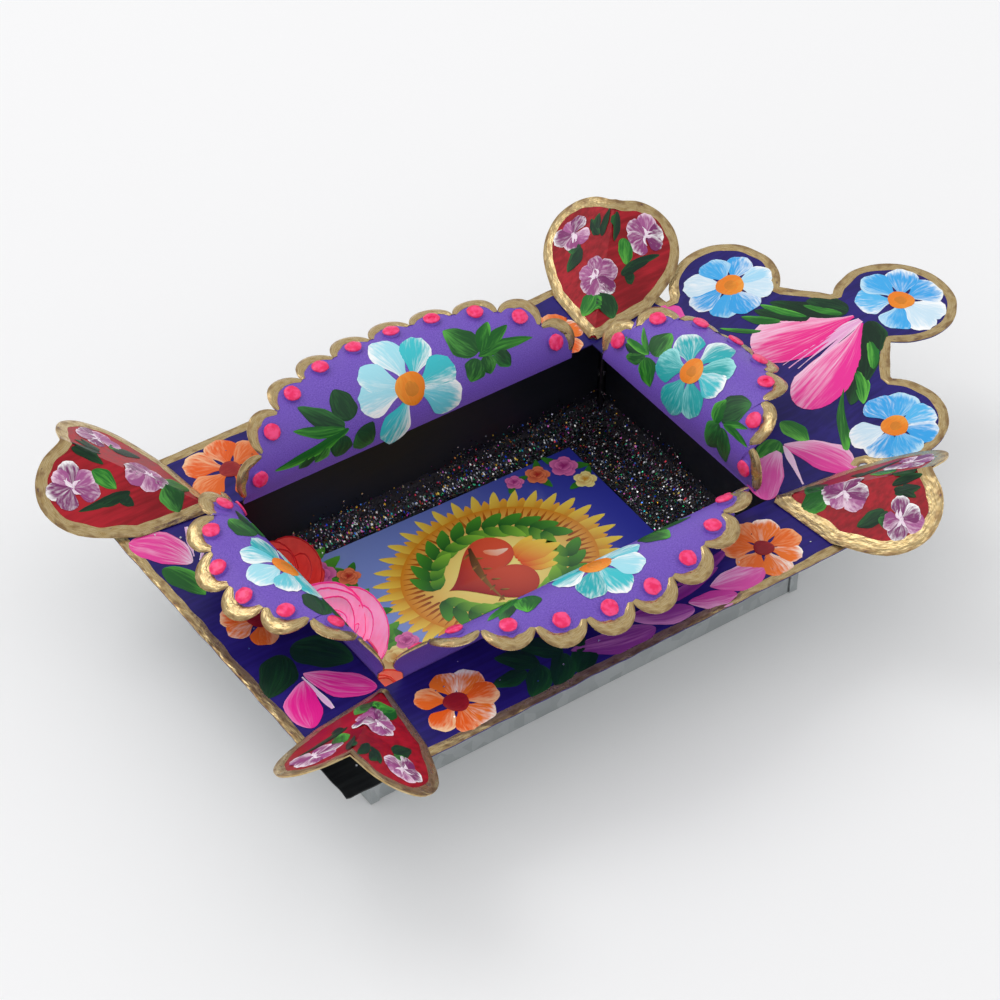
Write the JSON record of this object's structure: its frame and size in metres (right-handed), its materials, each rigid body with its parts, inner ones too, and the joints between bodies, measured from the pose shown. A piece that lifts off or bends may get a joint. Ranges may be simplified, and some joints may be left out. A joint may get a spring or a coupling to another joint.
{
  "type": "votive frame",
  "caption": "Painted tin shadow-box frame with a lobed crown, scalloped curled flaps round its opening, folded corner petals, a picture card, paper roses and a wire hanging ring.",
  "frame": {"origin": "centre of the outer face of the back panel, on the surface that the frame lies on", "axes": "+X to the right of the picture, +Y up towards the crown, +Z out of the face"},
  "size_m": [0.1585, 0.2513, 0.0515],
  "materials": {
    "indigo_paint": "brush-painted enamel on tin, deep indigo with folk flowers and a gold edge",
    "violet_paint": "brush-painted enamel on tin, violet with gold scallops",
    "red_paint": "brush-painted enamel on tin, dark red with a gold edge",
    "galvanised": "bare galvanised tin plate, painted black inside the box",
    "solder": "tin solder, painted over in black",
    "printed_card": "glossy printed card",
    "glitter": "glued glitter in many colours on black",
    "red_paper": "dyed paper, matt",
    "pink_paper": "dyed paper, matt",
    "coral_paper": "dyed paper, matt",
    "steel_wire": "drawn steel wire"
  },
  "bodies": {
    "frame": {"face_plate": "indigo_paint", "back_panel": "galvanised", "wall_right": "galvanised", "wall_left": "galvanised", "wall_top": "galvanised", "wall_bottom": "galvanised", "corner_seam_top_right": "solder", "petal_top_right": "red_paint", "corner_seam_top_left": "solder", "petal_top_left": "red_paint", "corner_seam_bottom_left": "solder", "petal_bottom_left": "red_paint", "corner_seam_bottom_right": "solder", "petal_bottom_right": "red_paint", "flap_top": "violet_paint", "flap_left": "violet_paint", "flap_bottom": "violet_paint", "flap_right": "violet_paint", "print_card": "printed_card", "glitter_bed": "glitter", "red_rose_left": "red_paper", "pink_rose": "pink_paper", "red_rose_right": "coral_paper", "hanger_strap": "galvanised"},
    "ring": {"hanger_ring": "steel_wire"}
  },
  "joints": [
    {"name": "ring_swing", "type": "hinge", "parent": "frame", "child": "ring", "pos_m": [0, 0.069, 0.0017], "axis": [1, 0, 0], "range_deg": [-90, 90]}
  ]
}
